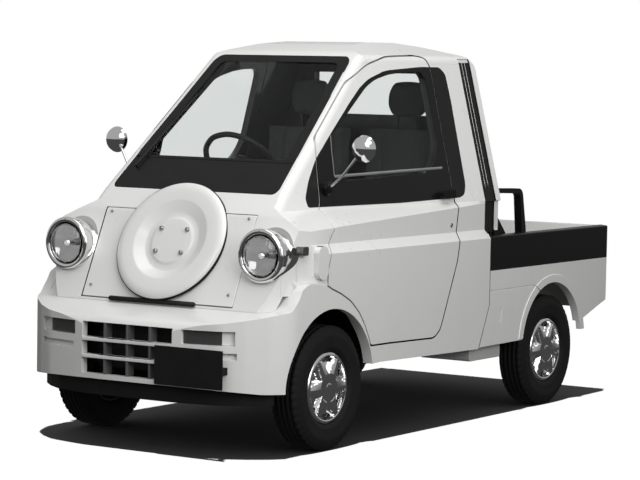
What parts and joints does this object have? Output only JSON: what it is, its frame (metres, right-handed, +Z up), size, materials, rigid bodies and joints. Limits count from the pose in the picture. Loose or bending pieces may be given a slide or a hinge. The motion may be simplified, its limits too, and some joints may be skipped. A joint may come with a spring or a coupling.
{
  "type": "kei pickup truck",
  "caption": "Tiny two-seat pickup truck with round headlamps, a nose-mounted spare wheel cover, hinged doors, steered front wheels and a drop-down tailgate.",
  "frame": {"origin": "on the ground, under the centre of the bounding box", "axes": "+Z up, the front faces -Y, +X is the truck's left side"},
  "size_m": [1.374, 2.9307, 1.65],
  "materials": {
    "body_paint": "gloss",
    "black_plastic": "satin",
    "black_gloss": "gloss",
    "chrome": "polished",
    "glass": "clear",
    "lamp_glass": "clear",
    "dark_lens": "gloss",
    "fabric": "woven",
    "tyre": "moulded",
    "chassis": "satin",
    "cast": "rough",
    "tank": "satin"
  },
  "bodies": {
    "truck": {"bed_floor": "body_paint", "bed_panels": "body_paint", "bed_rails": "black_plastic", "cab_back": "body_paint", "cab_floor": "body_paint", "cab_glass": "glass", "cab_nose": "body_paint", "cab_roof": "body_paint", "cab_sides": "body_paint", "cowl_panel": "black_gloss", "dashboard": "black_plastic", "door_hinges": "chassis", "engine": "cast", "exhaust": "chassis", "frame_rails": "chassis", "front_bumper": "body_paint", "front_lid": "body_paint", "front_suspension": "chassis", "front_valance": "black_plastic", "fuel_tank": "tank", "grille": "body_paint", "headlamp_lenses": "lamp_glass", "headlamp_rings": "chrome", "number_plates": "black_plastic", "rear_axle": "chassis", "seats": "fabric", "signal_lamps": "dark_lens", "spare_cover": "body_paint", "tow_eyes": "chassis", "window_trim": "black_gloss"},
    "left_door": {"door_glass_left": "glass", "door_left": "body_paint", "door_trim_left": "black_gloss"},
    "right_door": {"door_glass_right": "glass", "door_right": "body_paint", "door_trim_right": "black_gloss"},
    "knuckle_left": {"knuckle_left": "cast"},
    "knuckle_right": {"knuckle_right": "cast"},
    "steering": {"steering_wheel": "black_plastic"},
    "tailgate_panel": {"tailgate": "body_paint"},
    "road_front_left": {"tyre_front_left": "tyre", "wheel_front_left": "chrome"},
    "road_front_right": {"tyre_front_right": "tyre", "wheel_front_right": "chrome"},
    "road_rear_left": {"tyre_rear_left": "tyre", "wheel_rear_left": "chrome"},
    "road_rear_right": {"tyre_rear_right": "tyre", "wheel_rear_right": "chrome"}
  },
  "joints": [
    {"name": "steer_left", "type": "hinge", "parent": "truck", "child": "knuckle_left", "pos_m": [0.44, -0.905, 0.254], "axis": [0, 0, 1], "range_deg": [-33, 33]},
    {"name": "steer_right", "type": "hinge", "parent": "truck", "child": "knuckle_right", "pos_m": [-0.44, -0.905, 0.254], "axis": [0, 0, 1], "range_deg": [-33, 33]},
    {"name": "steering_turn", "type": "hinge", "parent": "truck", "child": "steering", "pos_m": [-0.17, -0.427, 1.108], "axis": [0, 0.766, 0.6428], "range_deg": [-535, 535]},
    {"name": "left_door_hinge", "type": "hinge", "parent": "truck", "child": "left_door", "pos_m": [0.633, -0.9765, 0.7], "axis": [0, 0, -1], "range_deg": [0, 65]},
    {"name": "right_door_hinge", "type": "hinge", "parent": "truck", "child": "right_door", "pos_m": [-0.633, -0.9765, 0.7], "axis": [0, 0, 1], "range_deg": [0, 65]},
    {"name": "tailgate_hinge", "type": "hinge", "parent": "truck", "child": "tailgate_panel", "pos_m": [0, 1.451, 0.58], "axis": [-1, 0, 0], "range_deg": [0, 90]},
    {"name": "front_left_spin", "type": "hinge", "parent": "knuckle_left", "child": "road_front_left", "pos_m": [0.545, -0.905, 0.254], "axis": [1, 0, 0], "continuous": true},
    {"name": "front_right_spin", "type": "hinge", "parent": "knuckle_right", "child": "road_front_right", "pos_m": [-0.545, -0.905, 0.254], "axis": [1, 0, 0], "continuous": true},
    {"name": "rear_left_spin", "type": "hinge", "parent": "truck", "child": "road_rear_left", "pos_m": [0.545, 0.935, 0.254], "axis": [1, 0, 0], "continuous": true},
    {"name": "rear_right_spin", "type": "hinge", "parent": "truck", "child": "road_rear_right", "pos_m": [-0.545, 0.935, 0.254], "axis": [1, 0, 0], "continuous": true}
  ],
  "couplings": [
    {"joint": "steer_right", "follows": "steer_left", "ratio": 1},
    {"joint": "steering_turn", "follows": "steer_left", "ratio": 16}
  ]
}
